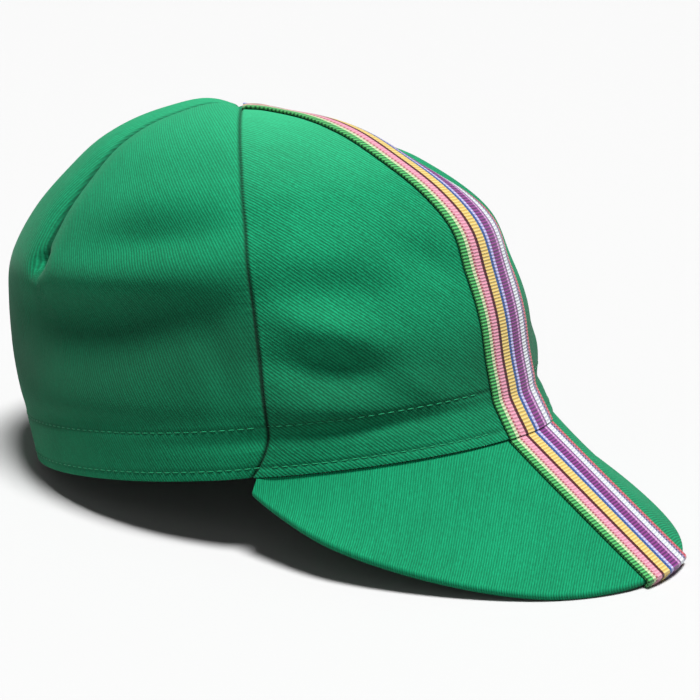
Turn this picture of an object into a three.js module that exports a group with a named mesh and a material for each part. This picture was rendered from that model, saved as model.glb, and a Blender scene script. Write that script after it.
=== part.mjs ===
// A soft cycling cap of green cotton twill: two front panels, a darted back panel in two halves,
// a short stiff peak, and a striped ribbon from the top of the crown to the peak's tip.
// Millimetres, +Z up, the peak towards -Y, resting on its back hem and the peak's front edge.
import * as THREE from 'three';
import { mergeVertices } from 'three/addons/utils/BufferGeometryUtils.js';

// The head opening and the crown above it
const RIM_LENGTH = 195;
const RIM_WIDTH = 159;
const CROWN_HEIGHT = 118.5;
const APEX_BACK = 5;
const APEX_TIP = 7;
const CROWN_CLOTH = 1.2;
const HEM_HEIGHT = 17;
const HEM_CLOTH = 2.4;
const HEM_STEP = 1.2;

// The seams, and the darts that shape the back panel
const PANEL_GAP = 0.3;
const SEAM_ANGLE = 56;
const SEAM_SWING = 5;
const SEAM_SINK = 0.9;
const SEAM_SPREAD = 5;
const DART_ANGLE = 124;
const DART_SWING = 9;
const DART_END = 0.5;
const DART_SINK = 1.6;
const DART_SPREAD = 6;

// The seams meet at a slightly sunk apex; the folds run out to it over a share of the rise
const APEX_SINK = 1.6;
const APEX_FADE = 0.08;

// The ribbon down the front
const RIBBON_WIDTH = 27;
const RIBBON_CLOTH = 0.8;
const RIBBON_GAP = 0.65;
const CREASE_GAP = 1.2;

// The peak, two covers sewn together
const PEAK_REACH = 43;
const PEAK_DROP = 44.5;
const PEAK_WIDTH = 150;
const PEAK_SAG = 3;
const PEAK_CLOTH = 1.3;
const PEAK_COVER_GAP = 0.3;
const PEAK_TUCK = 0.8;
const PEAK_ROOT_GAP = 0.35;

// How deep the folds are, and how far the soft edges flatten on what the cap rests on
const FOLD_DEPTH = 4;
const SETTLE = 0.8;

// Level sections of the crown, evenly spaced along its rise from the rim to the apex.
// height: share of CROWN_HEIGHT; front, side, back: shares of the rim's own reach from the apex line;
// frontSquare, backSquare: exponents of the oval, 2 for an ellipse.
const SECTIONS = [
  { height: 0.0, front: 1.0, side: 1.0, back: 1.0, frontSquare: 1.8, backSquare: 2.17 },
  { height: 0.09, front: 0.958, side: 1.005, back: 1.012, frontSquare: 1.82, backSquare: 2.18 },
  { height: 0.2, front: 0.94, side: 1.01, back: 1.034, frontSquare: 1.85, backSquare: 2.18 },
  { height: 0.33, front: 0.935, side: 0.977, back: 1.074, frontSquare: 1.87, backSquare: 2.18 },
  { height: 0.46, front: 0.912, side: 0.931, back: 1.083, frontSquare: 1.87, backSquare: 2.18 },
  { height: 0.59, front: 0.878, side: 0.898, back: 1.029, frontSquare: 1.86, backSquare: 2.17 },
  { height: 0.704, front: 0.784, side: 0.808, back: 0.915, frontSquare: 1.85, backSquare: 2.16 },
  { height: 0.806, front: 0.648, side: 0.672, back: 0.755, frontSquare: 1.86, backSquare: 2.15 },
  { height: 0.894, front: 0.49, side: 0.524, back: 0.582, frontSquare: 1.9, backSquare: 2.1 },
  { height: 0.958, front: 0.295, side: 0.32, back: 0.345, frontSquare: 1.95, backSquare: 2.05 },
  { height: 1.0, front: 0.0, side: 0.0, back: 0.0, frontSquare: 2.0, backSquare: 2.0 },
];

// Folds and dents of the crown. angle: degrees from the front towards the wearer's right;
// rise: share of the way from rim to apex; turn: degrees of the fold's line from level;
// long, wide: shares of CROWN_HEIGHT; depth: share of FOLD_DEPTH, outwards positive;
// pair: whether the wearer's left has the same fold.
const FOLDS = [
  { angle: 98, rise: 0.465, turn: 0, long: 0.5, wide: 0.085, depth: 0.85, pair: true },
  { angle: 96, rise: 0.36, turn: 0, long: 0.44, wide: 0.1, depth: -1.05, pair: true },
  { angle: 82, rise: 0.55, turn: -6, long: 0.22, wide: 0.07, depth: -0.6, pair: true },
  { angle: 104, rise: 0.235, turn: 0, long: 0.4, wide: 0.08, depth: 0.3, pair: true },
  { angle: 40, rise: 0.335, turn: 22, long: 0.16, wide: 0.06, depth: 0.6, pair: true },
  { angle: 42, rise: 0.255, turn: 12, long: 0.16, wide: 0.055, depth: -0.5, pair: true },
  { angle: 42, rise: 0.17, turn: 8, long: 0.16, wide: 0.055, depth: 0.35, pair: true },
  { angle: 17, rise: 0.46, turn: 35, long: 0.12, wide: 0.07, depth: -0.6, pair: true },
  { angle: -27, rise: 0.79, turn: 117, long: 0.3, wide: 0.18, depth: -2.4, pair: false },
];

// The peak's outer edge from the middle of the front to the corner at the seam.
// turn: share of the angle of the seam at the rim; side: share of half PEAK_WIDTH;
// forward: share of the way from the corner to the tip; drop: share of PEAK_DROP;
// sag: how much of PEAK_SAG the face sinks between the root and this place of the edge.
const PEAK_EDGE = [
  { turn: 0.0, side: 0.0, forward: 1.0, drop: 1.0, sag: 0.0 },
  { turn: 0.13, side: 0.29, forward: 0.954, drop: 0.996, sag: 0.15 },
  { turn: 0.27, side: 0.587, forward: 0.804, drop: 0.923, sag: 0.6 },
  { turn: 0.44, side: 0.84, forward: 0.553, drop: 0.705, sag: 1.0 },
  { turn: 0.67, side: 0.99, forward: 0.27, drop: 0.415, sag: 0.8 },
  { turn: 0.98, side: 0.965, forward: 0.005, drop: 0.115, sag: 0.0 },
];

// How finely each piece is divided
const FRONT_COLUMNS = 16;
const DART_COLUMNS = 12;
const REAR_COLUMNS = 9;
const HEM_ROWS = 3;
const CROWN_ROWS = 20;
const PEAK_COLUMNS = 36;
const PEAK_ROWS = 8;
const RIBBON_COLUMNS = 6;
const PEAK_RIBBON_ROWS = 12;

// Where slopes are measured: by how small a step, and how near the apex the crown still has a side
const SLOPE_STEP = 0.002;
const SLOPE_TOP = 0.985;
const SIDE_TOP = 0.995;
const APEX_RISE = 0.99999;
const LENGTH_STEPS = 40;
const HALVINGS = 40;

const GREEN_TWILL = { color: 0x16955f, roughness: 0.85, metalness: 0 };
const STRIPED_RIBBON = { color: 0xb4668f, roughness: 0.7, metalness: 0 };

const radians = THREE.MathUtils.degToRad;
const mix = THREE.MathUtils.lerp;

// One column of a table at a place between its rows, on a smooth curve through them.
// Before the first row and past the last the table goes on as its mirror image, with odd columns negated.
function along(table, column, place, { oddStart = false, mirrorStart = false, oddEnd = false } = {}) {
  const last = table.length - 1;
  const value = (row) => {
    if (row < 0 && mirrorStart) return (oddStart ? -1 : 1) * table[-row][column];
    if (row < 0) return 2 * table[0][column] - table[-row][column];
    if (row > last) return (oddEnd ? -1 : 1) * table[2 * last - row][column];
    return table[row][column];
  };
  const row = Math.min(Math.floor(place), last - 1);
  const between = place - row;
  const [before, here, next, after] = [value(row - 1), value(row), value(row + 1), value(row + 2)];
  const slopeHere = (next - before) / 2;
  const slopeNext = (after - here) / 2;
  const squared = between * between;
  const cubed = squared * between;
  return (2 * cubed - 3 * squared + 1) * here + (cubed - 2 * squared + between) * slopeHere
    + (3 * squared - 2 * cubed) * next + (cubed - squared) * slopeNext;
}

// The place where a growing function reaches a value, by halving.
function solve(grows, target, low, high) {
  let [from, to] = [low, high];
  for (let step = 0; step < HALVINGS; step += 1) {
    const middle = (from + to) / 2;
    if (grows(middle) < target) from = middle;
    else to = middle;
  }
  return (from + to) / 2;
}

// The crown's smooth form: a point at an angle from the front and a share of the rise.
function section(rise) {
  const place = rise * (SECTIONS.length - 1);
  const odd = { oddEnd: true };
  return {
    height: along(SECTIONS, 'height', place) * CROWN_HEIGHT,
    front: along(SECTIONS, 'front', place, odd) * (RIM_LENGTH / 2 + APEX_BACK),
    side: along(SECTIONS, 'side', place, odd) * (RIM_WIDTH / 2),
    back: along(SECTIONS, 'back', place, odd) * (RIM_LENGTH / 2 - APEX_BACK),
    frontSquare: along(SECTIONS, 'frontSquare', place),
    backSquare: along(SECTIONS, 'backSquare', place),
  };
}

function reachAt(angle, rise) {
  const oval = section(rise);
  const ahead = Math.cos(angle) > 0;
  const square = ahead ? oval.frontSquare : oval.backSquare;
  const lengthways = Math.abs(Math.cos(angle)) / (ahead ? oval.front : oval.back);
  const sideways = Math.abs(Math.sin(angle)) / oval.side;
  return (lengthways ** square + sideways ** square) ** (-1 / square);
}

function smoothCrown(angle, rise) {
  if (rise > APEX_RISE) return new THREE.Vector3(0, APEX_BACK, CROWN_HEIGHT);
  const reach = reachAt(angle, rise);
  const ahead = reach * Math.cos(angle);
  const tip = Math.tan(radians(APEX_TIP)) * rise ** 2;
  return new THREE.Vector3(-reach * Math.sin(angle), APEX_BACK - ahead, section(rise).height - ahead * tip);
}

// The outward normal of a surface over angle and rise, by small differences.
// It turns level towards the rim, so that the hem ends in one level edge.
function normalOf(surface, angle, rise) {
  const tip = radians(APEX_TIP);
  if (rise > APEX_RISE) return new THREE.Vector3(0, -Math.sin(tip), Math.cos(tip));
  const low = Math.min(Math.max(rise, SLOPE_STEP), SLOPE_TOP);
  const around = surface(angle + SLOPE_STEP, low).sub(surface(angle - SLOPE_STEP, low));
  const upward = surface(angle, low + SLOPE_STEP).sub(surface(angle, low - SLOPE_STEP));
  const normal = upward.cross(around).normalize();
  normal.z *= Math.min(1, rise / HEM_RISE);
  return normal.normalize();
}

// The length of cloth from the rim up the side to the apex, and the share of the rise that the hem takes
const sidePoint = (i) => smoothCrown(Math.PI / 2, i / LENGTH_STEPS);
const RIM_TO_APEX = [...Array(LENGTH_STEPS).keys()]
  .map((i) => sidePoint(i + 1).distanceTo(sidePoint(i)))
  .reduce((sum, length) => sum + length, 0);
const HEM_RISE = solve((rise) => section(rise).height, HEM_HEIGHT, 0, 0.5);

// The seams and darts run down the crown at nearly one angle from the apex.
function seamAngle(rise) {
  const inHem = Math.max(0, 1 - rise / HEM_RISE);
  return radians(SEAM_ANGLE + SEAM_SWING * inHem ** 2);
}

function dartAngle(rise) {
  const aboveEnd = Math.max(0, (rise - DART_END) / (1 - DART_END));
  return radians(DART_ANGLE + DART_SWING * aboveEnd ** 2);
}

const bell = (distance, spread) => Math.exp(-((distance / spread) ** 2));

function turnBetween(angle, other) {
  return Math.atan2(Math.sin(angle - other), Math.cos(angle - other));
}

// How far the cloth stands out from the smooth form: folds, sunk seams and sunk darts.
function relief(angle, rise) {
  const reach = reachAt(angle, Math.min(rise, SIDE_TOP));
  let out = 0;
  for (const fold of FOLDS) {
    for (const side of fold.pair ? [1, -1] : [1]) {
      const around = turnBetween(angle, radians(fold.angle) * side) * reach * side;
      const upward = (rise - fold.rise) * RIM_TO_APEX;
      const turn = radians(fold.turn);
      const lengthways = around * Math.cos(turn) + upward * Math.sin(turn);
      const across = upward * Math.cos(turn) - around * Math.sin(turn);
      out += fold.depth * FOLD_DEPTH
        * bell(lengthways, fold.long * CROWN_HEIGHT) * bell(across, fold.wide * CROWN_HEIGHT);
    }
  }
  for (const side of [1, -1]) {
    const fromSeam = turnBetween(angle, seamAngle(rise) * side) * reach;
    out -= SEAM_SINK * bell(fromSeam, SEAM_SPREAD);
    const fromDart = turnBetween(angle, dartAngle(rise) * side) * reach;
    const belowEnd = Math.max(0, DART_END - rise) * RIM_TO_APEX;
    out -= DART_SINK * bell(fromDart, DART_SPREAD) * bell(belowEnd, DART_SPREAD);
  }
  return mix(-APEX_SINK, out, Math.min(1, (1 - rise) / APEX_FADE));
}

function crown(angle, rise) {
  return smoothCrown(angle, rise).addScaledVector(normalOf(smoothCrown, angle, rise), relief(angle, rise));
}

// The crown's outer face moved outwards by a distance, or inwards by a negative one.
function crownFace(angle, rise, distance) {
  return crown(angle, rise).addScaledVector(normalOf(crown, angle, rise), distance);
}

// A closed wall from an outer and an inner grid of points, with the rims between them.
function wall(columns, rows, outer, inner) {
  const ring = 2 * (rows + 1);
  const points = [];
  const faces = [];
  const quad = (a, b, c, d) => faces.push(a, b, c, a, c, d);
  for (let i = 0; i <= columns; i += 1) {
    for (let j = 0; j <= rows; j += 1) points.push(outer(i / columns, j));
    for (let j = rows; j >= 0; j -= 1) points.push(inner(i / columns, j));
  }
  for (let i = 0; i < columns; i += 1) {
    for (let j = 0; j < ring; j += 1) {
      const next = (j + 1) % ring;
      quad(i * ring + j, i * ring + next, (i + 1) * ring + next, (i + 1) * ring + j);
    }
  }
  const end = columns * ring;
  for (let j = 0; j < rows; j += 1) {
    quad(ring - 1 - j, ring - 2 - j, j + 1, j);
    quad(end + j, end + j + 1, end + ring - 2 - j, end + ring - 1 - j);
  }
  return facingOut(closed(new THREE.BufferGeometry().setFromPoints(points).setIndex(faces)));
}

// Merges points that coincide and drops the triangles that lose their area by it.
function closed(geometry) {
  const merged = mergeVertices(geometry, 1e-3);
  const old = merged.index.array;
  const kept = [];
  for (let i = 0; i < old.length; i += 3) {
    const [a, b, c] = [old[i], old[i + 1], old[i + 2]];
    if (a !== b && b !== c && c !== a) kept.push(a, b, c);
  }
  merged.setIndex(kept);
  return merged;
}

function facingOut(geometry) {
  const corner = (i) => new THREE.Vector3().fromBufferAttribute(geometry.attributes.position, i);
  const index = [...geometry.index.array];
  let volume = 0;
  for (let i = 0; i < index.length; i += 3) {
    volume += corner(index[i]).dot(corner(index[i + 1]).cross(corner(index[i + 2])));
  }
  return volume > 0 ? geometry : geometry.setIndex(index.reverse());
}

// Crown panels

// The rows of a panel: a few up the hem, one short step where the turned hem ends, the rest to the apex.
function riseOfRow(row) {
  if (row <= HEM_ROWS) return (HEM_RISE * row) / HEM_ROWS;
  const stepTop = HEM_RISE + HEM_STEP / RIM_TO_APEX;
  return mix(stepTop, 1, (row - HEM_ROWS - 1) / (CROWN_ROWS - HEM_ROWS - 1));
}

function clothOfRow(row) {
  return row <= HEM_ROWS ? HEM_CLOTH : CROWN_CLOTH;
}

function panel(columns, angleAt) {
  const face = (share, row, inwards) => crownFace(angleAt(share, riseOfRow(row)), riseOfRow(row), -inwards);
  return wall(columns, CROWN_ROWS, (share, row) => face(share, row, 0),
    (share, row) => face(share, row, clothOfRow(row)));
}

// A panel stands clear of its neighbours by moving away from the apex along its own middle line.
function clearOfSeams(mesh, middle, halfWedge) {
  const away = PANEL_GAP / 2 / Math.sin(halfWedge);
  mesh.position.set(-away * Math.sin(middle), -away * Math.cos(middle), 0);
  return mesh;
}

function named(name, geometry, look) {
  const mesh = new THREE.Mesh(geometry, new THREE.MeshStandardMaterial(look));
  mesh.name = name;
  return mesh;
}

function frontPanel(name, side) {
  const geometry = panel(FRONT_COLUMNS, (share, rise) => side * share * seamAngle(rise));
  const half = radians(SEAM_ANGLE) / 2;
  return clearOfSeams(named(name, geometry, GREEN_TWILL), side * half, half);
}

// The back panel's halves meet in the middle of the back; each has one dart.
function backPanel(name, side) {
  const columns = DART_COLUMNS + REAR_COLUMNS;
  const dartShare = DART_COLUMNS / columns;
  const geometry = panel(columns, (share, rise) => side * (share < dartShare
    ? mix(seamAngle(rise), dartAngle(rise), share / dartShare)
    : mix(dartAngle(rise), Math.PI, (share - dartShare) / (1 - dartShare))));
  const half = (Math.PI - radians(SEAM_ANGLE)) / 2;
  return clearOfSeams(named(name, geometry, GREEN_TWILL), side * (Math.PI - half), half);
}

// Peak

// A place on the peak's top face: turn from -1 to 1 between the corners, out from 0 at the root to 1.
function peakRoot(share) {
  const angle = share * seamAngle(0);
  const rim = smoothCrown(angle, 0);
  const reach = Math.hypot(rim.x, rim.y - APEX_BACK);
  const inward = (reach - PEAK_TUCK) / reach;
  return new THREE.Vector3(rim.x * inward, APEX_BACK + (rim.y - APEX_BACK) * inward, -PEAK_ROOT_GAP);
}

function peakLine(turn) {
  const place = Math.abs(turn) * (PEAK_EDGE.length - 1);
  const hand = Math.sign(turn) || 1;
  const odd = { mirrorStart: true, oddStart: true };
  const even = { mirrorStart: true };
  const root = peakRoot(hand * along(PEAK_EDGE, 'turn', place, odd));
  const cornerY = peakRoot(1).y;
  const tipY = -RIM_LENGTH / 2 - PEAK_REACH;
  const edge = new THREE.Vector3(
    -hand * along(PEAK_EDGE, 'side', place, odd) * (PEAK_WIDTH / 2),
    mix(cornerY, tipY, along(PEAK_EDGE, 'forward', place, even)),
    -along(PEAK_EDGE, 'drop', place, even) * PEAK_DROP,
  );
  return { root, edge, sag: along(PEAK_EDGE, 'sag', place, even) * PEAK_SAG };
}

function peakTop(turn, out) {
  const { root, edge, sag } = peakLine(turn);
  const point = root.lerp(edge, out);
  point.z -= 4 * sag * out * (1 - out);
  return point;
}

function peakNormal(turn, out) {
  const middle = THREE.MathUtils.clamp(turn, -1 + SLOPE_STEP, 1 - SLOPE_STEP);
  const across = peakTop(middle + SLOPE_STEP, out).sub(peakTop(middle - SLOPE_STEP, out));
  const { root, edge } = peakLine(middle);
  return across.cross(edge.sub(root)).normalize();
}

function peakFace(turn, out, depth) {
  return peakTop(turn, out).addScaledVector(peakNormal(turn, out), -depth);
}

function peakCover(name, depth) {
  const face = (share, row, inwards) => peakFace(2 * share - 1, row / PEAK_ROWS, depth + inwards);
  const geometry = wall(PEAK_COLUMNS, PEAK_ROWS, (share, row) => face(share, row, 0),
    (share, row) => face(share, row, PEAK_CLOTH));
  return named(name, geometry, GREEN_TWILL);
}

const PEAK_UNDER_DEPTH = PEAK_CLOTH + PEAK_COVER_GAP;
const PEAK_THICKNESS = PEAK_UNDER_DEPTH + PEAK_CLOTH;

// Ribbon

// The crown's angle at which it is a given distance to the side of the middle line.
function angleBeside(side, rise) {
  const beside = (angle) => reachAt(angle, rise) * Math.sin(angle);
  return Math.sign(side) * solve(beside, Math.abs(side), 0, seamAngle(rise));
}

// The rise at which the seam is a given distance to the side: the ribbon ends there.
function riseOfSeam(side) {
  const short = (rise) => -reachAt(seamAngle(rise), rise) * Math.sin(seamAngle(rise));
  return solve(short, -Math.abs(side), DART_END, APEX_RISE);
}

// The crown's ribbon shares the panels' rows, so that it lies evenly on them.
function crownRibbon() {
  const place = (share, row, distance) => {
    const side = (share - 0.5) * RIBBON_WIDTH;
    const rise = Math.min(riseOfRow(row), riseOfSeam(side));
    return crownFace(angleBeside(side, rise), rise, distance);
  };
  const geometry = wall(RIBBON_COLUMNS, CROWN_ROWS,
    (share, row) => place(share, row, RIBBON_GAP + RIBBON_CLOTH),
    (share, row) => place(share, row, RIBBON_GAP));
  return named('ribbon_crown', geometry, STRIPED_RIBBON);
}

// The peak's ribbon lies on its top face and turns down over its edge.
function peakRibbon() {
  const { root, edge } = peakLine(0);
  const start = (PEAK_TUCK + CREASE_GAP) / root.distanceTo(edge);
  const topRows = PEAK_RIBBON_ROWS - 1;
  const place = (share, row, distance) => {
    const side = (share - 0.5) * RIBBON_WIDTH;
    const out = mix(start, 1, Math.min(row / (topRows - 1), 1));
    const turn = Math.sign(side) * solve((t) => -peakTop(t, out).x, Math.abs(side), 0, 1);
    const point = peakTop(turn, out);
    const upward = peakNormal(turn, out);
    if (row < topRows - 1) return point.addScaledVector(upward, distance);
    const line = peakLine(turn);
    const outward = line.edge.sub(line.root).normalize();
    const depths = [-distance, -distance, PEAK_THICKNESS];
    const outs = [0, distance, distance];
    const step = row - (topRows - 1);
    return point.addScaledVector(upward, -depths[step]).addScaledVector(outward, outs[step]);
  };
  const geometry = wall(RIBBON_COLUMNS, topRows + 1,
    (share, row) => place(share, row, RIBBON_GAP + RIBBON_CLOTH),
    (share, row) => place(share, row, RIBBON_GAP));
  return named('ribbon_peak', geometry, STRIPED_RIBBON);
}

// Resting

// The cap leans back on its rear hem until the peak's edge meets the surface.
function restLean(meshes) {
  const rear = smoothCrown(Math.PI, 0);
  let lean = 0;
  for (const mesh of meshes) {
    const points = mesh.geometry.attributes.position;
    for (let i = 0; i < points.count; i += 1) {
      const ahead = rear.y - points.getY(i);
      if (ahead > RIM_LENGTH / 2) lean = Math.max(lean, Math.atan2(rear.z - points.getZ(i), ahead));
    }
  }
  return lean;
}

// Only what would sink below the surface is flattened onto it.
function flattenOnSurface(meshes, pose) {
  for (const mesh of meshes) {
    mesh.updateMatrix();
    const toSurface = pose.clone().multiply(mesh.matrix);
    const back = toSurface.clone().invert();
    const points = mesh.geometry.attributes.position;
    for (let i = 0; i < points.count; i += 1) {
      const point = new THREE.Vector3().fromBufferAttribute(points, i).applyMatrix4(toSurface);
      if (point.z < 0) {
        point.setZ(0).applyMatrix4(back);
        points.setXYZ(i, point.x, point.y, point.z);
      }
    }
    mesh.geometry.computeVertexNormals();
  }
}

const pieces = [
  frontPanel('front_panel_right', 1),
  frontPanel('front_panel_left', -1),
  backPanel('back_panel_right', 1),
  backPanel('back_panel_left', -1),
  peakCover('peak_top', 0),
  peakCover('peak_under', PEAK_UNDER_DEPTH),
  crownRibbon(),
  peakRibbon(),
];

const head = new THREE.Group();
head.add(...pieces);
head.rotation.x = -restLean(pieces);
head.updateMatrixWorld(true);
const leaning = new THREE.Box3().setFromObject(head, true);
head.position.set(0, -(leaning.min.y + leaning.max.y) / 2, -leaning.min.z - SETTLE);
head.updateMatrix();
flattenOnSurface(pieces, head.matrix);

const cap = new THREE.Group();
cap.add(head);

export default cap;
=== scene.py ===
from math import cos, pi, radians, sin, tan

import bmesh
import bpy
import numpy as np
from mathutils import Matrix, Quaternion, Vector


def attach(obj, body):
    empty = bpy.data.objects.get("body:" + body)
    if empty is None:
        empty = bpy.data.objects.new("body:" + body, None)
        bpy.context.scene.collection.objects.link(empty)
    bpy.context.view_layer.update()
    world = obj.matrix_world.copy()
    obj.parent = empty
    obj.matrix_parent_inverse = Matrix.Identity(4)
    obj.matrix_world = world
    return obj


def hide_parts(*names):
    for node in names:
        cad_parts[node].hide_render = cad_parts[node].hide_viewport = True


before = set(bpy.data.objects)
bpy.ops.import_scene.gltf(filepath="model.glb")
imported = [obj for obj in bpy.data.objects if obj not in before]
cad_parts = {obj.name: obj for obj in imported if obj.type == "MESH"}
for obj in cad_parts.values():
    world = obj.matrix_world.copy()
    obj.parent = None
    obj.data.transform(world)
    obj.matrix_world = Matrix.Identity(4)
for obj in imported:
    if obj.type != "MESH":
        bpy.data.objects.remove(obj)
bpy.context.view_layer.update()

# The camera looks at the cap from its front right, a little from above, tilted as the photograph is.
# Metres, +Z up, the peak towards -Y, the wearer's right towards -X.
AIM = Vector((0.0022, -0.0028, 0.0495))
CAMERA_DISTANCE = 0.63
CAMERA_AZIMUTH = radians(-56.1)
CAMERA_ELEVATION = radians(15.7)
CAMERA_ROLL = radians(2.55)
LENS = 93.35
SENSOR = 36
NEAREST = 0.01


def seen_from(azimuth, elevation):
    return Vector((sin(azimuth) * cos(elevation), -cos(azimuth) * cos(elevation), sin(elevation)))


camera = bpy.data.objects.new("camera", bpy.data.cameras.new("camera"))
camera.data.lens = LENS
camera.data.sensor_width = SENSOR
camera.data.clip_start = NEAREST
towards_camera = seen_from(CAMERA_AZIMUTH, CAMERA_ELEVATION)
camera.location = AIM + towards_camera * CAMERA_DISTANCE
camera.rotation_mode = "QUATERNION"
camera.rotation_quaternion = towards_camera.to_track_quat("Z", "Y") @ Quaternion((0, 0, 1), CAMERA_ROLL)
bpy.context.scene.collection.objects.link(camera)
bpy.context.scene.camera = camera

# Studio: a broad soft light overhead, a weak one behind the camera, and a pale room that is white
# round the horizon and dim above it, shown in plain screen colours.
LIGHTS = [
    {"name": "soft_overhead", "azimuth": -20, "elevation": 80, "spread": 20, "strength": 7.6},
    {"name": "fill", "azimuth": -70, "elevation": 30, "spread": 60, "strength": 0.2},
]
ROOM_WALLS = 0.98
ROOM_CEILING = 0.08
ROOM_TOP = 0.12
ROOM_FADE = 0.06

for light in LIGHTS:
    lamp = bpy.data.lights.new(light["name"], "SUN")
    lamp.angle = radians(light["spread"])
    lamp.energy = light["strength"]
    holder = bpy.data.objects.new(light["name"], lamp)
    way = seen_from(radians(light["azimuth"]), radians(light["elevation"]))
    holder.location = AIM + way
    holder.rotation_mode = "QUATERNION"
    holder.rotation_quaternion = way.to_track_quat("Z", "Y")
    bpy.context.scene.collection.objects.link(holder)

room = bpy.data.worlds.new("room")
room.use_nodes = True
nodes = room.node_tree.nodes
links = room.node_tree.links
way_up = nodes.new("ShaderNodeSeparateXYZ")
walls = nodes.new("ShaderNodeValToRGB")
heights = [(ROOM_TOP, ROOM_WALLS), (ROOM_TOP + ROOM_FADE, ROOM_CEILING)]
for stop, (height, light) in zip(walls.color_ramp.elements, heights):
    stop.position = height
    stop.color = (light, light, light, 1)
links.new(nodes.new("ShaderNodeTexCoord").outputs["Generated"], way_up.inputs[0])
links.new(way_up.outputs["Z"], walls.inputs["Fac"])
links.new(walls.outputs["Color"], nodes["Background"].inputs["Color"])
bpy.context.scene.world = room
bpy.context.scene.view_settings.view_transform = "Standard"


# Floor: a plain pale sheet of matt board that the cap rests on,
# wide enough to reach the horizon on every side.
FLOOR_REACH = 60
FLOOR_GREY = (0.38, 0.38, 0.38, 1)
FLOOR_ROUGHNESS = 0.9


def finished(name, bm, look):
    """A piece from its bmesh, in its material."""
    mesh = bpy.data.meshes.new(name)
    bm.to_mesh(mesh)
    bm.free()
    mesh.materials.append(look)
    piece = bpy.data.objects.new(name, mesh)
    bpy.context.scene.collection.objects.link(piece)
    return piece


board = bpy.data.materials.new("pale_board")
board.use_nodes = True
board.node_tree.nodes["Principled BSDF"].inputs["Base Color"].default_value = FLOOR_GREY
board.node_tree.nodes["Principled BSDF"].inputs["Roughness"].default_value = FLOOR_ROUGHNESS
bm = bmesh.new()
bmesh.ops.create_grid(bm, x_segments=1, y_segments=1, size=FLOOR_REACH)
finished("floor", bm, board)


# Crown: one front panel on each side and a darted back panel, cut from cotton twill and sewn together.
# Each is a grid of cloth laid on the crown's form: level ovals, with folds, sunk seams and sunk darts.
# The hem is turned in, so that the cloth is twice as thick there.
RIM_LENGTH = 0.195
RIM_WIDTH = 0.159
CROWN_HEIGHT = 0.1185
APEX_BACK = 0.005
APEX_TIP = radians(7)
APEX_SINK = 0.0045
APEX_FADE = 0.035
CROWN_CLOTH = 0.0012
HEM_CLOTH = 0.0024
HEM_HEIGHT = 0.017
SEAM_ANGLE = radians(56)
SEAM_SWING = radians(5)
SEAM_SINK = 0.0009
SEAM_SPREAD = 0.005
SEAM_ROLL = 0.0008
SEAM_ROLL_SPREAD = 0.0007
DART_ROLL = 0.0013
DART_ROLL_SPREAD = 0.0012
DIMPLE = 0.0038
DIMPLE_SPREAD = 0.0036
DART_ANGLE = radians(124)
DART_SWING = radians(9)
DART_END = 0.5
DART_SINK = 0.0016
DART_SPREAD = 0.006
FOLD_DEPTH = 0.004
REST_LEAN = radians(11.46)
REST_AHEAD = 0.01702
SETTLE = 0.0008

# Where slopes are measured, as shares of the rise: they have no direction at the apex itself
SLOPE_STEP = 0.002
SLOPE_TOP = 0.985
SIDE_TOP = 0.995
REACH_TOP = 0.9999
APEX_RISE = 0.99999

# Level sections from the rim to the apex, evenly spaced up the cloth
SECTIONS = {
    "height": [0.0, 0.09, 0.2, 0.33, 0.46, 0.59, 0.704, 0.806, 0.894, 0.958, 1.0],
    "front": [1.0, 0.958, 0.94, 0.935, 0.912, 0.878, 0.784, 0.648, 0.49, 0.295, 0.0],
    "side": [1.0, 1.005, 1.01, 0.977, 0.931, 0.898, 0.808, 0.672, 0.524, 0.32, 0.0],
    "back": [1.0, 1.012, 1.034, 1.074, 1.083, 1.029, 0.915, 0.755, 0.582, 0.345, 0.0],
    "front_square": [1.8, 1.82, 1.85, 1.87, 1.87, 1.86, 1.85, 1.86, 1.9, 1.95, 2.0],
    "back_square": [2.17, 2.18, 2.18, 2.18, 2.18, 2.17, 2.16, 2.15, 2.1, 2.05, 2.0],
}
LAST_SECTION = len(SECTIONS["height"]) - 1

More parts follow.
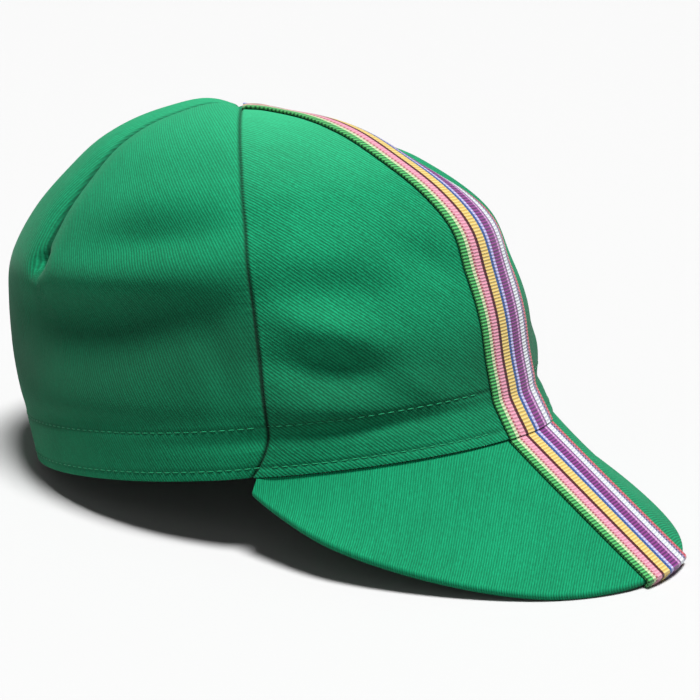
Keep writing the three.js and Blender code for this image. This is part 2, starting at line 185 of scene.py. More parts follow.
# Folds and dents: angle from the front and turn in degrees, the rest as shares, depth of FOLD_DEPTH
FOLDS = [
    {"angle": 98, "rise": 0.465, "turn": 0, "long": 0.5, "wide": 0.085, "depth": 0.85, "pair": True},
    {"angle": 96, "rise": 0.36, "turn": 0, "long": 0.44, "wide": 0.1, "depth": -1.05, "pair": True},
    {"angle": 82, "rise": 0.55, "turn": -6, "long": 0.22, "wide": 0.065, "depth": -0.8, "pair": True},
    {"angle": 104, "rise": 0.235, "turn": 0, "long": 0.4, "wide": 0.08, "depth": 0.1, "pair": True},
    {"angle": 40, "rise": 0.335, "turn": 22, "long": 0.16, "wide": 0.055, "depth": 0.85, "pair": True},
    {"angle": 42, "rise": 0.26, "turn": 12, "long": 0.16, "wide": 0.05, "depth": -0.8, "pair": True},
    {"angle": 42, "rise": 0.172, "turn": 8, "long": 0.16, "wide": 0.045, "depth": 0.5, "pair": True},
    {"angle": 17, "rise": 0.46, "turn": 35, "long": 0.12, "wide": 0.07, "depth": -0.6, "pair": True},
    {"angle": -27, "rise": 0.79, "turn": 117, "long": 0.3, "wide": 0.18, "depth": -2.9, "pair": False},
    {"angle": -46, "rise": 0.86, "turn": 0, "long": 0.2, "wide": 0.13, "depth": -1.0, "pair": False},
    {"angle": -2, "rise": 0.83, "turn": 90, "long": 0.15, "wide": 0.15, "depth": 0.5, "pair": False},
    {"angle": 95, "rise": 0.4, "turn": 0, "long": 0.42, "wide": 0.05, "depth": -0.25, "pair": True},
    {"angle": 82, "rise": 0.645, "turn": -6, "long": 0.2, "wide": 0.07, "depth": 0.35, "pair": True},
    {"angle": 105, "rise": 0.165, "turn": 0, "long": 0.42, "wide": 0.04, "depth": -0.35, "pair": True},
    {"angle": 36, "rise": 0.42, "turn": 14, "long": 0.2, "wide": 0.06, "depth": -0.3, "pair": True},
    {"angle": 24, "rise": 0.2, "turn": 42, "long": 0.1, "wide": 0.045, "depth": 0.35, "pair": True},
    {"angle": 40, "rise": 0.112, "turn": 0, "long": 0.4, "wide": 0.032, "depth": -0.35, "pair": True},
    {"angle": 52, "rise": 0.48, "turn": -75, "long": 0.14, "wide": 0.04, "depth": -0.25, "pair": True},
    {"angle": 66, "rise": 0.3, "turn": 78, "long": 0.12, "wide": 0.045, "depth": -0.3, "pair": True},
]


def along(values, place, start=None, end=1):
    """A table's values at places between them, on a smooth curve; start and end mirror it past its ends."""
    first = 2 * values[0] - values[1] if start is None else start * values[1]
    padded = np.array([first, *values, end * values[-2]])
    here = np.clip(np.floor(place).astype(int), 0, len(values) - 2)
    between = place - here
    before, near, far, after = (padded[here + step] for step in range(4))
    slope_near = (far - before) / 2
    slope_far = (after - near) / 2
    squared = between ** 2
    cubed = between ** 3
    return ((2 * cubed - 3 * squared + 1) * near + (cubed - 2 * squared + between) * slope_near
            + (3 * squared - 2 * cubed) * far + (cubed - squared) * slope_far)


def reach_at(angle, rise):
    """How far the crown lies from the line below the apex, at angles from the front and shares of the rise."""
    place = rise * LAST_SECTION
    ahead = np.cos(angle) > 0
    front = along(SECTIONS["front"], place, end=-1) * (RIM_LENGTH / 2 + APEX_BACK)
    back = along(SECTIONS["back"], place, end=-1) * (RIM_LENGTH / 2 - APEX_BACK)
    side = along(SECTIONS["side"], place, end=-1) * RIM_WIDTH / 2
    square = np.where(ahead, along(SECTIONS["front_square"], place), along(SECTIONS["back_square"], place))
    lengthways = np.abs(np.cos(angle)) / np.where(ahead, front, back)
    return (lengthways ** square + (np.abs(np.sin(angle)) / side) ** square) ** (-1 / square)


def smooth_crown(angle, rise):
    capped = np.minimum(rise, REACH_TOP)
    reach = np.where(rise > capped, 0, reach_at(angle, capped))
    ahead = reach * np.cos(angle)
    height = along(SECTIONS["height"], rise * LAST_SECTION) * CROWN_HEIGHT
    return np.stack([-reach * np.sin(angle), APEX_BACK - ahead, height - ahead * tan(APEX_TIP) * rise ** 2], -1)


def normal_of(surface, angle, rise):
    """The outward normal of a surface over angle and rise, which turns level towards the rim."""
    low = np.clip(rise, SLOPE_STEP, SLOPE_TOP)
    around = surface(angle + SLOPE_STEP, low) - surface(angle - SLOPE_STEP, low)
    upward = surface(angle, low + SLOPE_STEP) - surface(angle, low - SLOPE_STEP)
    normal = np.cross(upward, around)
    normal /= np.linalg.norm(normal, axis=-1, keepdims=True)
    normal[..., 2] *= np.minimum(1, rise / HEM_RISE)
    normal = np.where((rise > APEX_RISE)[..., None], (0, -sin(APEX_TIP), cos(APEX_TIP)), normal)
    return normal / np.linalg.norm(normal, axis=-1, keepdims=True)


steps = np.linspace(0, 1, 201)
side_line = smooth_crown(np.full(len(steps), pi / 2), steps)
CLOTH_LENGTHS = np.concatenate([[0], np.cumsum(np.linalg.norm(np.diff(side_line, axis=0), axis=1))])
CLOTH_HEIGHT = float(CLOTH_LENGTHS[-1])
HEM_RISE = float(np.interp(HEM_HEIGHT, along(SECTIONS["height"], steps * LAST_SECTION) * CROWN_HEIGHT, steps))


def up_cloth(rise):
    """How far up the flat cloth a share of the rise lies."""
    return np.interp(rise, steps, CLOTH_LENGTHS)


def seam_angle(rise):
    return SEAM_ANGLE + SEAM_SWING * np.maximum(0, 1 - rise / HEM_RISE) ** 2


def dart_angle(rise):
    return DART_ANGLE + DART_SWING * np.maximum(0, (rise - DART_END) / (1 - DART_END)) ** 2


def bell(distance, spread):
    return np.exp(-((distance / spread) ** 2))


def from_line(angle, line, reach):
    return np.arctan2(np.sin(angle - line), np.cos(angle - line)) * reach


def relief(angle, rise):
    """How far the cloth stands out from the smooth form."""
    reach = reach_at(angle, np.minimum(rise, SIDE_TOP))
    out = np.zeros(np.shape(angle))
    for fold in FOLDS:
        for hand in (1, -1) if fold["pair"] else (1,):
            around = from_line(angle, radians(fold["angle"]) * hand, reach) * hand
            upward = (rise - fold["rise"]) * CLOTH_HEIGHT
            turn = radians(fold["turn"])
            lengthways = around * cos(turn) + upward * sin(turn)
            across = upward * cos(turn) - around * sin(turn)
            out += (fold["depth"] * FOLD_DEPTH * bell(lengthways, fold["long"] * CROWN_HEIGHT)
                    * bell(across, fold["wide"] * CROWN_HEIGHT))
    for hand in (1, -1):
        seam = from_line(angle, seam_angle(rise) * hand, reach)
        out -= SEAM_SINK * bell(seam, SEAM_SPREAD) + SEAM_ROLL * bell(seam, SEAM_ROLL_SPREAD)
        dart = from_line(angle, dart_angle(rise) * hand, reach)
        below_end = np.maximum(0, DART_END - rise) * CLOTH_HEIGHT
        sunk = DART_SINK * bell(dart, DART_SPREAD) + DART_ROLL * bell(dart, DART_ROLL_SPREAD)
        out -= bell(below_end, DART_SPREAD) * sunk
        out -= DIMPLE * bell(np.hypot(dart, (rise - DART_END) * CLOTH_HEIGHT), DIMPLE_SPREAD)
    return -APEX_SINK + (out + APEX_SINK) * np.minimum(1, (1 - rise) / APEX_FADE)


def crown(angle, rise):
    return smooth_crown(angle, rise) + normal_of(smooth_crown, angle, rise) * relief(angle, rise)[..., None]


def crown_face(angle, rise, distance=0):
    return crown(angle, rise) + normal_of(crown, angle, rise) * np.asarray(distance)[..., None]


# The cap leans back on its rear hem; only what would sink below the floor is flattened onto it.
AT_REST = (Matrix.Translation((0, REST_AHEAD, RIM_LENGTH / 2 * sin(REST_LEAN) - SETTLE))
           @ Matrix.Rotation(-REST_LEAN, 4, "X"))


def at_rest(points):
    turned = np.asarray(points) @ np.array(AT_REST.to_3x3()).T + np.array(AT_REST.translation)
    turned[:, 2] = np.maximum(turned[:, 2], 0)
    return turned


def laid(name, columns, rows, place, inside, look):
    """A grid of cloth: place gives each vertex its point, its place on the flat cloth and its seam distance."""
    bm = bmesh.new()
    bmesh.ops.create_grid(bm, x_segments=columns, y_segments=rows, size=0.5)
    shares = np.clip(np.array([vert.co[:2] for vert in bm.verts]) + 0.5, 0, 1)
    points, flat, seam = place(shares[:, 0], shares[:, 1])
    cloth = bm.loops.layers.uv.new("cloth")
    distance = bm.verts.layers.float.new("seam")
    for vert, point, apart in zip(bm.verts, at_rest(points), seam):
        vert.co = point
        vert[distance] = apart
    for face in bm.faces:
        for loop in face.loops:
            loop[cloth].uv = flat[loop.vert.index]
    bmesh.ops.remove_doubles(bm, verts=bm.verts[:], dist=1e-6)
    bm.normal_update()
    centre = AT_REST @ Vector(inside)
    if sum(face.normal.dot(face.calc_center_median() - centre) for face in bm.faces) < 0:
        bmesh.ops.reverse_faces(bm, faces=bm.faces[:])
    for face in bm.faces:
        face.smooth = True
    return finished(name, bm, look)


def given_thickness(piece, thickness, round_edge):
    """A wall inwards from the sheet's outer face, with its cut edges a little rounded."""
    wall = piece.modifiers.new("cloth", "SOLIDIFY")
    wall.thickness = thickness
    wall.offset = -1
    edge = piece.modifiers.new("edge", "BEVEL")
    edge.width = round_edge
    edge.segments = 2
    edge.limit_method = "ANGLE"
    edge.angle_limit = radians(50)
    return wall


def sewn_on(piece, nodes):
    """The piece rides the cap's one body, in place of its plain CAD nodes."""
    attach(piece, "root")
    for node in nodes:
        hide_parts(node)


class Flow:
    """A value in a material's node tree: sums and products of flows add their Math nodes."""

    def __init__(self, tree, socket=None):
        self.tree = tree
        self.socket = socket

    def node(self, kind, settings=None, values=None):
        made = self.tree.nodes.new(kind)
        for name, setting in (settings or {}).items():
            if name == "stops":
                ramp = made.color_ramp
                while len(ramp.elements) < len(setting):
                    ramp.elements.new(0.5)
                for stop, (position, colour) in zip(ramp.elements, setting):
                    stop.position = position
                    stop.color = colour
            elif name == "interpolation":
                made.color_ramp.interpolation = setting
            else:
                setattr(made, name, setting)
        for name, value in (values or {}).items():
            if isinstance(value, Flow):
                self.tree.links.new(value.socket, made.inputs[name])
            else:
                made.inputs[name].default_value = value
        return Flow(self.tree, made.outputs[0])

    def output(self, name):
        return Flow(self.tree, self.socket.node.outputs[name])

    def math(self, operation, *values):
        return self.node("ShaderNodeMath", {"operation": operation}, dict(enumerate(values)))

    def __add__(self, other):
        return self.math("ADD", self, other)

    def __sub__(self, other):
        return self.math("SUBTRACT", self, other)

    def __rsub__(self, other):
        return self.math("SUBTRACT", other, self)

    def __mul__(self, other):
        return self.math("MULTIPLY", self, other)

    def __truediv__(self, other):
        return self.math("DIVIDE", self, other)

    def __neg__(self):
        return self.math("MULTIPLY", self, -1)

    __radd__ = __add__
    __rmul__ = __mul__

    def bell(self, middle, spread):
        """1 where the value is at the middle, falling to nothing about two spreads away."""
        away = (self - middle) / spread
        return self.math("EXPONENT", -(away * away))

    def wave(self, length):
        return self.math("SINE", self * (2 * pi / length))

    def noise(self, first, second, detail=2.0):
        """Soft noise over two lengths, each given in its own grain size."""
        place = self.node("ShaderNodeCombineXYZ", values={"X": first, "Y": second})
        return self.node("ShaderNodeTexNoise", {"noise_dimensions": "2D"},
                         {"Vector": place, "Scale": 1.0, "Detail": detail}).output("Fac") - 0.5

    def blend(self, first, second):
        """Mixes two colours by this value."""
        mixed = self.node("ShaderNodeMix", {"data_type": "RGBA", "clamp_factor": True},
                          {0: self, 6: first, 7: second})
        return mixed.output(2)


def linear(red, green, blue):
    """A colour as a screen shows it, 0 to 255, as the renderer counts light."""
    return tuple(((c / 255 + 0.055) / 1.055) ** 2.4 if c > 10 else c / 255 / 12.92 for c in (red, green, blue)) + (1,)


SHEEN_SPREAD = 0.5
CLOTH_GLOSS = 0.12


def cloth_material(name, roughness, sheen):
    material = bpy.data.materials.new(name)
    material.use_nodes = True
    shader = material.node_tree.nodes["Principled BSDF"]
    shader.inputs["Roughness"].default_value = roughness
    shader.inputs["Sheen Weight"].default_value = sheen
    shader.inputs["Sheen Roughness"].default_value = SHEEN_SPREAD
    shader.inputs["Specular IOR Level"].default_value = CLOTH_GLOSS
    return material, Flow(material.node_tree), shader


def dressed(material, start, shader, colour, height):
    bump = start.node("ShaderNodeBump", values={"Strength": 1.0, "Distance": 1.0, "Height": height})
    material.node_tree.links.new(colour.socket, shader.inputs["Base Color"])
    material.node_tree.links.new(bump.socket, shader.inputs["Normal"])
    return material


# Green twill: fine slanting ribs, lighter where the yarn lies on top, a little uneven from rib to rib.
# Puckers run out from each sewn line, and a shallow furrow follows each row of hem stitches.
# On the crown a painted highlight pales the cloth towards the top, and a band of painted shade darkens it towards the
# hem.
TWILL_PITCH = 0.00095
TWILL_RELIEF = 0.00005
TWILL_ROUGHNESS = 0.85
TWILL_SHEEN = 0.03
RIB_WANDER = 0.00045
RIB_WANDER_GRAIN = (0.005, 0.0007)
YARN_GRAIN = (0.0011, 0.0004)
CLOUD_GRAIN = 0.03
CLOUD_DETAIL = 3.0
TWILL_TONES = [(0.0, linear(0, 78, 50)), (0.45, linear(0, 107, 70)), (1.0, linear(11, 143, 98))]
# Colour of the painted shade in seams, darts, stitch furrows and the band low on the crown
TWILL_SHADE = linear(0, 34, 20)
# Colour of the painted highlight towards the top of the crown
TWILL_PAINTED_HIGHLIGHT = linear(62, 176, 126)
MIDDLE_TONE = 0.42
RIB_TONE = 0.8
YARN_TONE = 0.9
CLOUD_TONE = 0.25
# Height up the cloth where the painted highlight starts
PAINTED_HIGHLIGHT_FROM = 0.089
# Painted shade along each seam and dart: how wide its dark line is and how dark
SEAM_LINE = 0.0006
SEAM_SHADE = 0.75
STITCH_ROWS = (0.016, 0.003)
PUCKER_RELIEF = 0.00022
PUCKER_GRAIN = (0.0016, 0.012)
PUCKER_SPREAD = 0.0055
CRIMP_RELIEF = 0.6 * PUCKER_RELIEF
CRIMP_GRAIN = (0.0022, 0.006)
CRIMP_SPREAD = 0.003
FURROW_RELIEF = 0.0003
FURROW_SPREAD = 0.0009
# Painted shade in the furrow of each row of hem stitches: how wide and how dark
FURROW_LINE = 0.0007
FURROW_SHADE = 0.2


def twill(name, slant, contrast, painted_highlight=0, painted_shade_band=None):
    """Its last two give how fast a painted highlight pales the cloth up the crown, and how dark a band of painted
    shade lies on it, where and how wide.
    """
    material, start, shader = cloth_material(name, TWILL_ROUGHNESS, TWILL_SHEEN)
    flat = start.node("ShaderNodeSeparateXYZ", values={0: start.node("ShaderNodeUVMap", {"uv_map": "cloth"})})
    around = flat.output("X")
    upward = flat.output("Y")
    across = upward * cos(slant) - around * sin(slant)
    lengthways = around * cos(slant) + upward * sin(slant)
    uneven = start.noise(lengthways / RIB_WANDER_GRAIN[0], across / RIB_WANDER_GRAIN[1])
    rib = (across + uneven * RIB_WANDER).wave(TWILL_PITCH) * 0.5 + 0.5
    yarn = start.noise(lengthways / YARN_GRAIN[0], across / YARN_GRAIN[1])
    cloudy = start.noise(around / CLOUD_GRAIN, upward / CLOUD_GRAIN, CLOUD_DETAIL)
    height = rib * TWILL_RELIEF + yarn * TWILL_RELIEF
    tone = MIDDLE_TONE + (rib - 0.5) * (RIB_TONE * contrast) + yarn * (YARN_TONE * contrast) + cloudy * CLOUD_TONE
    colour = start.node("ShaderNodeValToRGB", {"stops": TWILL_TONES}, {"Fac": tone})
    seam = start.node("ShaderNodeAttribute", {"attribute_name": "seam"}).output("Fac")
    pucker = start.noise(upward / PUCKER_GRAIN[0], seam / PUCKER_GRAIN[1])
    height = height + pucker * seam.bell(0, PUCKER_SPREAD) * PUCKER_RELIEF
    # Painted shade: a dark line down each seam and dart, where the cloth sinks into its groove.
    shade = seam.bell(0, SEAM_LINE) * SEAM_SHADE
    if painted_shade_band:
        # Painted highlight: the cloth pales towards the top of the crown, where the light falls on it.
        painted_highlight_share = upward.math("MAXIMUM", upward - PAINTED_HIGHLIGHT_FROM, 0.0) * painted_highlight
        colour = painted_highlight_share.blend(colour, TWILL_PAINTED_HIGHLIGHT)
        # Painted shade: a dark band low on the crown, towards the hem.
        shade = shade + upward.bell(*painted_shade_band[1:]) * painted_shade_band[0]
        for row in STITCH_ROWS:
            crimp = start.noise(around / CRIMP_GRAIN[0], upward / CRIMP_GRAIN[1])
            height = height + crimp * upward.bell(row, CRIMP_SPREAD) * CRIMP_RELIEF
            height = height - upward.bell(row, FURROW_SPREAD) * FURROW_RELIEF
            # Painted shade along the furrow of each stitch row.
            shade = shade + upward.bell(row, FURROW_LINE) * FURROW_SHADE
    return dressed(material, start, shader, shade.blend(colour, TWILL_SHADE), height)


ENDS_CLOSER = 0.12
FRONT_COLUMNS = 84
REAR_COLUMNS = 110
SIDE_COLUMNS = 70
BACK_COLUMNS = 2 * SIDE_COLUMNS + REAR_COLUMNS
CROWN_ROWS = 130
CROWN_ROUND = 0.0004
INSIDE_CROWN = (0, APEX_BACK, 0.04)
FRONT_GRAIN = radians(45)
BACK_GRAIN = radians(68)
BACK_MELT = radians(50)
LEAST_MELT = 1e-4
# The sunk dart shows a broader dark line of painted shade than a seam
DART_LINE = 0.002
DART_NARROWED = 0.65


def closer_at_ends(share):
    """Shares whose steps are shorter at both ends, beside the seams."""
    return share - ENDS_CLOSER * np.sin(2 * pi * share)


def front_place(hand):
    def place(share, upward):
        angle = hand * closer_at_ends(share) * seam_angle(upward)
        reach = reach_at(angle, np.minimum(upward, SIDE_TOP))
        flat = np.stack([(angle - hand * FRONT_GRAIN) * reach, up_cloth(upward)], -1)
        return crown_face(angle, upward), flat, np.abs(from_line(angle, hand * seam_angle(upward), reach))
    return place


def back_flat(angle, rise, reach):
    """The cloth's own level length: from beside the seam up to the dart, from the middle of the back behind it."""
    turned = np.minimum(angle, 2 * pi - angle)
    melt = BACK_MELT * np.maximum(0, 1 - rise / DART_END) + LEAST_MELT
    behind = np.clip((turned - dart_angle(rise)) / melt + 0.5, 0, 1)
    shift = RIM_LENGTH / 2 * (pi - BACK_GRAIN)
    level = (turned - BACK_GRAIN) * reach * (1 - behind) + ((turned - pi) * reach + shift) * behind
    return np.where(angle <= pi, level, 2 * shift - level)


def back_place(share, upward):
    half = np.minimum(share, 1 - share)
    side = SIDE_COLUMNS / BACK_COLUMNS
    to_dart = dart_angle(upward) - seam_angle(upward)
    in_side = seam_angle(upward) + closer_at_ends(np.minimum(half / side, 1)) * to_dart
    behind = closer_at_ends(np.maximum(half - side, 0) / (1 - 2 * side)) * 2
    in_rear = dart_angle(upward) + behind * (pi - dart_angle(upward))
    angle = np.where(half < side, in_side, in_rear)
    angle = np.where(share <= 0.5, angle, 2 * pi - angle)
    reach = reach_at(angle, np.minimum(upward, SIDE_TOP))
    flat = np.stack([back_flat(angle, upward, reach), up_cloth(upward)], -1)
    seams = [np.abs(from_line(angle, hand * seam_angle(upward), reach)) for hand in (1, -1)]
    below_end = np.maximum(0, DART_END - upward) * CLOTH_HEIGHT
    darts = [np.hypot(from_line(angle, hand * dart_angle(upward), reach), below_end) for hand in (1, -1)]
    darts = [apart - DART_NARROWED * np.minimum(apart, DART_LINE) for apart in darts]
    return crown_face(angle, upward), flat, np.minimum.reduce(seams + darts)


def crown_panel(name, nodes, columns, place, look):
    """A panel of single cloth, twice as thick up to the top of the hem."""
    piece = laid(name, columns, CROWN_ROWS, place, INSIDE_CROWN, look)
    wall = given_thickness(piece, HEM_CLOTH, CROWN_ROUND)
    hem = piece.vertex_groups.new(name="hem")
    upward = np.empty(len(piece.data.loops) * 2)
    piece.data.uv_layers["cloth"].data.foreach_get("uv", upward)
    for loop, height in zip(piece.data.loops, upward[1::2]):
        if height < HEM_HEIGHT:
            hem.add([loop.vertex_index], 1.0, "REPLACE")
    wall.vertex_group = "hem"
    wall.thickness_vertex_group = CROWN_CLOTH / HEM_CLOTH
    sewn_on(piece, nodes)
    return piece


# Each crown twill has a painted highlight towards the top and a band of painted shade towards the hem.
front_twill = twill("front_twill", slant=radians(43), contrast=0.9, painted_highlight=8, painted_shade_band=(0.45, 0.022, 0.02))
back_twill = twill("back_twill", slant=radians(62), contrast=0.6, painted_highlight=4, painted_shade_band=(0.6, 0.041, 0.028))
front_right = crown_panel("cloth_front_right", ["front_panel_right"], FRONT_COLUMNS, front_place(1), front_twill)
front_left = crown_panel("cloth_front_left", ["front_panel_left"], FRONT_COLUMNS, front_place(-1), front_twill)
back = crown_panel("cloth_back", ["back_panel_right", "back_panel_left"], BACK_COLUMNS, back_place, back_twill)


# Hem stitches: two rows of green sewing thread that hold the turned hem, near its fold and at its top.
# Each stitch is a short plump dash that lies in its furrow.
STITCH_PITCH = 0.0031
STITCH_LENGTH = 0.0023
THREAD = 0.00036
THREAD_LIFT = 0.00004
THREAD_ROUGHNESS = 0.6
THREAD_SHEEN = 0.1
THREAD_GRAIN = 0.0003
THREAD_RELIEF = 0.00003
THREAD_MIDDLE = 0.6
ROW_POINTS = 400
# Where the rows stop, as angles beside the ribbon and beside the seam
RIBBON_CLEAR = 0.2
SEAM_CLEAR = 0.02
HEM_MIDDLE = 0.07
THREAD_LIGHT = linear(14, 132, 88)
THREAD_DARK = linear(3, 96, 62)

material, start, shader = cloth_material("light_thread", THREAD_ROUGHNESS, THREAD_SHEEN)
place = start.node("ShaderNodeSeparateXYZ", values={0: start.node("ShaderNodeTexCoord").output("Object")})
twist = start.noise(place.output("X") / THREAD_GRAIN, place.output("Z") / THREAD_GRAIN)
thread_look = dressed(material, start, shader, (twist + THREAD_MIDDLE).blend(THREAD_DARK, THREAD_LIGHT),
                      twist * THREAD_RELIEF)


def stitched(name, first, last):
    """Rows of stitches on the crown between two angles."""
    bm = bmesh.new()
    for row in STITCH_ROWS:
        angle = np.linspace(first, last, ROW_POINTS)
        rise = np.full(ROW_POINTS, np.interp(row, CLOTH_LENGTHS, steps))
        line = at_rest(crown_face(angle, rise, THREAD_LIFT))
        lengths = np.concatenate([[0], np.cumsum(np.linalg.norm(np.diff(line, axis=0), axis=1))])
        count = int(lengths[-1] / STITCH_PITCH)
        for step in (np.arange(count) + 0.5) * lengths[-1] / count:
            start_at, end_at = (Vector([np.interp(step + half, lengths, line[:, axis]) for axis in range(3)])
                                for half in (-STITCH_LENGTH / 2, STITCH_LENGTH / 2))
            turn = (end_at - start_at).to_track_quat("X", "Z").to_matrix().to_4x4()
            size = Matrix.Diagonal((STITCH_LENGTH / 2, THREAD / 2, THREAD / 2, 1))
            bmesh.ops.create_uvsphere(bm, u_segments=8, v_segments=5, radius=1,
                                      matrix=Matrix.Translation((start_at + end_at) / 2) @ turn @ size)
    for face in bm.faces:
        face.smooth = True
    piece = finished(name, bm, thread_look)
    sewn_on(piece, [])
    return piece


hem_seam = float(seam_angle(np.array(HEM_MIDDLE)))
stitches_right = stitched("stitches_front_right", RIBBON_CLEAR, hem_seam - SEAM_CLEAR)
stitches_left = stitched("stitches_front_left", -hem_seam + SEAM_CLEAR, -RIBBON_CLEAR)
stitches_back = stitched("stitches_back", hem_seam + SEAM_CLEAR, 2 * pi - hem_seam - SEAM_CLEAR)


# Ribbon: a ribbed woven ribbon in lengthways stripes, its near edge corded in bright green.
# One length is sewn down the middle of the crown, another over the peak and down its edge.
RIBBON_WIDTH = 0.027
RIBBON_CLOTH = 0.0009
RIBBON_GAP = 0.00035
RIBBON_ROUND = 0.0003
RIBBON_ROUGHNESS = 0.6
RIBBON_SHEEN = 0.2
RIBBON_COLUMNS = 36
RIBBON_ROWS = 220
RIB_PITCH = 0.00112
RIB_RELIEF = 0.00018
WARP_PITCH = 0.0009
WARP_RELIEF = 0.00002
RIBBON_YARN_GRAIN = (0.0004, 0.0005)
RIBBON_YARN_RELIEF = 0.00004
STRIPE_WANDER = 0.006
STRIPE_WANDER_GRAIN = (0.0006, 0.05)
DYE_DEPTH = 0.52
# Where each stripe ends across the ribbon, its colour on the ribs and its colour between them
STRIPES = [
    (0.075, (96, 212, 116), (8, 92, 48)),
    (0.12, (228, 236, 196), (172, 202, 146)),
    (0.155, (160, 60, 78), (228, 176, 176)),
    (0.235, (244, 176, 196), (228, 142, 168)),
    (0.285, (96, 14, 34), (58, 4, 20)),
    (0.41, (248, 224, 142), (222, 184, 88)),
    (0.46, (36, 66, 150), (56, 108, 160)),
    (0.505, (216, 212, 248), (168, 164, 226)),
    (0.66, (156, 54, 152), (70, 16, 86)),
    (0.7, (228, 172, 222), (190, 128, 190)),
    (0.742, (88, 32, 96), (150, 98, 160)),
    (0.86, (248, 250, 252), (206, 216, 228)),
    (0.925, (46, 36, 100), (164, 150, 192)),
    (1.0, (232, 104, 116), (164, 40, 62)),
]


def dyed(colour):
    """A stripe's colour as it looks in full light, at the depth of its dye."""
    return tuple(DYE_DEPTH * part for part in linear(*colour)[:3]) + (1,)


def ribbon_look():
    material, start, shader = cloth_material("striped_ribbon", RIBBON_ROUGHNESS, RIBBON_SHEEN)
    flat = start.node("ShaderNodeSeparateXYZ", values={0: start.node("ShaderNodeUVMap", {"uv_map": "cloth"})})
    across = flat.output("X")
    lengthways = flat.output("Y")
    wander = start.noise(lengthways / STRIPE_WANDER_GRAIN[0], across / STRIPE_WANDER_GRAIN[1]) * STRIPE_WANDER
    starts = [0] + [stripe[0] for stripe in STRIPES[:-1]]
    ramps = [start.node("ShaderNodeValToRGB", {
        "interpolation": "CONSTANT",
        "stops": [(first, dyed(stripe[which])) for first, stripe in zip(starts, STRIPES)],
    }, {"Fac": across + wander}) for which in (1, 2)]
    rib = lengthways.wave(RIB_PITCH) * 0.5 + 0.5
    yarn = start.noise(across * RIBBON_WIDTH / RIBBON_YARN_GRAIN[0], lengthways / RIBBON_YARN_GRAIN[1])
    top = rib + yarn * 0.5
    warp = (across * RIBBON_WIDTH).wave(WARP_PITCH)
    height = rib * RIB_RELIEF + warp * WARP_RELIEF + yarn * RIBBON_YARN_RELIEF
    return dressed(material, start, shader, top.blend(ramps[1], ramps[0]), height)


striped = ribbon_look()


def seam_rise(side):
    """The rise at which the seam is a given distance to the side, where the ribbon ends."""
    rise = np.linspace(0.999, 0.5, 200)
    return np.interp(np.abs(side), reach_at(seam_angle(rise), rise) * np.sin(seam_angle(rise)), rise)


def ribbon_place(across, upward):
    side = (across - 0.5) * RIBBON_WIDTH
    rise = upward * seam_rise(side)
    angle = np.zeros_like(rise)
    for _ in range(8):
        angle = np.arcsin(np.clip(side / reach_at(angle, rise), -1, 1))
    flat = np.stack([1 - across, up_cloth(rise)], -1)
    return crown_face(angle, rise, RIBBON_GAP + RIBBON_CLOTH), flat, np.ones_like(rise)


ribbon_crown = laid("ribbon_on_crown", RIBBON_COLUMNS, RIBBON_ROWS, ribbon_place, INSIDE_CROWN, striped)
given_thickness(ribbon_crown, RIBBON_CLOTH, RIBBON_ROUND)
sewn_on(ribbon_crown, ["ribbon_crown"])


# Peak: two covers of the same cotton twill sewn together at the edge over a stiff sheet.
# The top cover rolls over the edge; both are tucked under the hem at the root.
PEAK_REACH = 0.043
PEAK_DROP = 0.0445
PEAK_WIDTH = 0.15
PEAK_SAG = 0.003
PEAK_THICKNESS = 0.0029
PEAK_CLOTH = 0.0007
PEAK_TUCK = 0.0008
PEAK_ROOT_GAP = 0.00035
PEAK_EDGE = {
    "turn": [0.0, 0.13, 0.27, 0.44, 0.67, 0.98],
    "side": [0.0, 0.29, 0.587, 0.84, 0.99, 0.965],
    "forward": [1.0, 0.954, 0.804, 0.553, 0.27, 0.005],
    "drop": [1.0, 0.996, 0.923, 0.705, 0.415, 0.115],
    "sag": [0.0, 0.15, 0.6, 1.0, 0.8, 0.0],
}
PEAK_COLUMNS = 150
PEAK_ROWS = 64
PEAK_ROUND = 0.0002
PEAK_MIDDLE = (0, -0.1)
PEAK_FAR_BELOW = 0.6
ROLL_SHARE = 0.16
ROLL_TURN = radians(86)
# Cloth length over the level length forwards
PEAK_SLOPE = 1.4
PEAK_SLANT = radians(18)
PEAK_CONTRAST = 0.6


def peak_root(share):
    angle = share * seam_angle(np.zeros_like(share))
    rim = smooth_crown(angle, np.zeros_like(share))
    reach = np.hypot(rim[:, 0], rim[:, 1] - APEX_BACK)
    inward = (reach - PEAK_TUCK) / reach
    return np.stack([rim[:, 0] * inward, APEX_BACK + (rim[:, 1] - APEX_BACK) * inward,
                     np.full_like(share, -PEAK_ROOT_GAP)], -1)


def peak_line(turn):
    place = np.abs(turn) * (len(PEAK_EDGE["turn"]) - 1)
    hand = np.where(turn < 0, -1, 1)
    root = peak_root(hand * along(PEAK_EDGE["turn"], place, start=-1))
    corner = peak_root(np.ones(1))[0, 1]
    tip = -RIM_LENGTH / 2 - PEAK_REACH
    edge = np.stack([
        -hand * along(PEAK_EDGE["side"], place, start=-1) * PEAK_WIDTH / 2,
        corner + (tip - corner) * along(PEAK_EDGE["forward"], place, start=1),
        -along(PEAK_EDGE["drop"], place, start=1) * PEAK_DROP,
    ], -1)
    return root, edge, along(PEAK_EDGE["sag"], place, start=1) * PEAK_SAG


def peak_top(turn, out):
    root, edge, sag = peak_line(turn)
    point = root + (edge - root) * out[:, None]
    point[:, 2] -= 4 * sag * out * (1 - out)
    return point


def peak_normal(turn, out):
    middle = np.clip(turn, SLOPE_STEP - 1, 1 - SLOPE_STEP)
    across = peak_top(middle + SLOPE_STEP, out) - peak_top(middle - SLOPE_STEP, out)
    root, edge, _ = peak_line(middle)
    normal = np.cross(across, edge - root)
    return normal / np.linalg.norm(normal, axis=-1, keepdims=True)


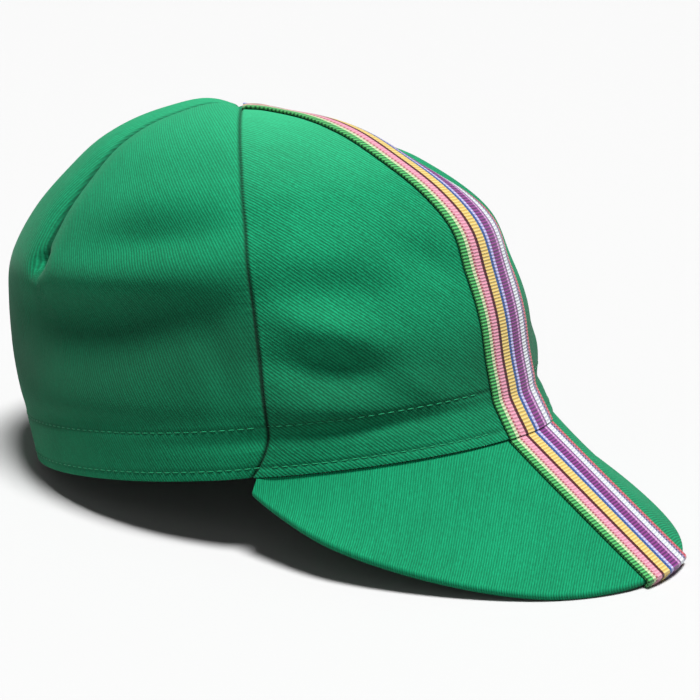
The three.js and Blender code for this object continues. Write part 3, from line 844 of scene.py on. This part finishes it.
def peak_place(face):
    """Over the top cover (face 1) or the under cover (face -1), then a quarter roll to the edge's middle."""
    def place(share, upward):
        turn = 2 * share - 1
        root, edge, _ = peak_line(turn)
        length = np.linalg.norm(edge - root, axis=-1)
        outward = (edge - root) / length[:, None]
        half = PEAK_THICKNESS / 2
        flat_out = np.minimum(upward / (1 - ROLL_SHARE), 1) * (1 - np.minimum(half / length, 0.5))
        roll = np.clip((upward - 1 + ROLL_SHARE) / ROLL_SHARE, 0, 1) * ROLL_TURN
        normal = peak_normal(turn, flat_out)
        middle = peak_top(turn, flat_out) - normal * half
        rolled = np.minimum(half, length * 0.5)
        point = (middle + normal * (face * half * np.cos(roll))[:, None]
                 + outward * (rolled * np.sin(roll))[:, None])
        flat = np.stack([point[:, 0], (point[:, 1] + RIM_LENGTH / 2) * PEAK_SLOPE], -1)
        return point, flat, np.ones_like(share)
    return place


peak_twill = twill("peak_twill", PEAK_SLANT, PEAK_CONTRAST)
covers = {}
for face, node in ((1, "peak_top"), (-1, "peak_under")):
    covers[node] = laid(f"cloth_{node}", PEAK_COLUMNS, PEAK_ROWS, peak_place(face),
                        (*PEAK_MIDDLE, -PEAK_FAR_BELOW * face), peak_twill)
    given_thickness(covers[node], PEAK_CLOTH, PEAK_ROUND)
    sewn_on(covers[node], [node])


# Ribbon on the peak: another length of the same ribbon, sewn to the top cover.
# It runs from under the hem to the tip and turns down over the edge.
CREASE_GAP = 0.0004
PEAK_RIBBON_ROWS = 120
BEND_AT = 0.86
BEND_SHARE = 0.4
END_SHORT = 0.0002
TURNED_DOWN = 0.004
WIDEST_TURN = 0.9
HALVINGS = 30


def peak_ribbon_place(across, along_it):
    side = (across - 0.5) * RIBBON_WIDTH
    root, edge, _ = peak_line(np.zeros(1))
    length = float(np.linalg.norm(edge - root))
    start_out = (PEAK_TUCK + CREASE_GAP) / length
    out = start_out + (1 - start_out) * np.minimum(along_it / BEND_AT, 1)
    low = np.zeros_like(side)
    high = np.full_like(side, WIDEST_TURN)
    for _ in range(HALVINGS):
        middle = (low + high) / 2
        short = -peak_top(middle, out)[:, 0] < np.abs(side)
        low = np.where(short, middle, low)
        high = np.where(short, high, middle)
    turn = np.sign(side) * (low + high) / 2
    root, edge, _ = peak_line(turn)
    outward = (edge - root) / np.linalg.norm(edge - root, axis=-1, keepdims=True)
    normal = peak_normal(turn, out)
    over = np.clip((along_it - BEND_AT) / (1 - BEND_AT), 0, 1)
    above = RIBBON_GAP + RIBBON_CLOTH
    roll = np.minimum(over / BEND_SHARE, 1) * pi / 2
    down = np.maximum(over - BEND_SHARE, 0) / (1 - BEND_SHARE) * (PEAK_THICKNESS - END_SHORT)
    point = (peak_top(turn, out) + normal * (above * np.cos(roll) - down)[:, None]
             + outward * (above * np.sin(roll))[:, None])
    flat = np.stack([1 - across, -(out * length + over * TURNED_DOWN)], -1)
    return point, flat, np.ones_like(side)


ribbon_peak = laid("ribbon_on_peak", RIBBON_COLUMNS, PEAK_RIBBON_ROWS, peak_ribbon_place,
                   (*PEAK_MIDDLE, -PEAK_FAR_BELOW), striped)
given_thickness(ribbon_peak, RIBBON_CLOTH, RIBBON_ROUND)
sewn_on(ribbon_peak, ["ribbon_peak"])
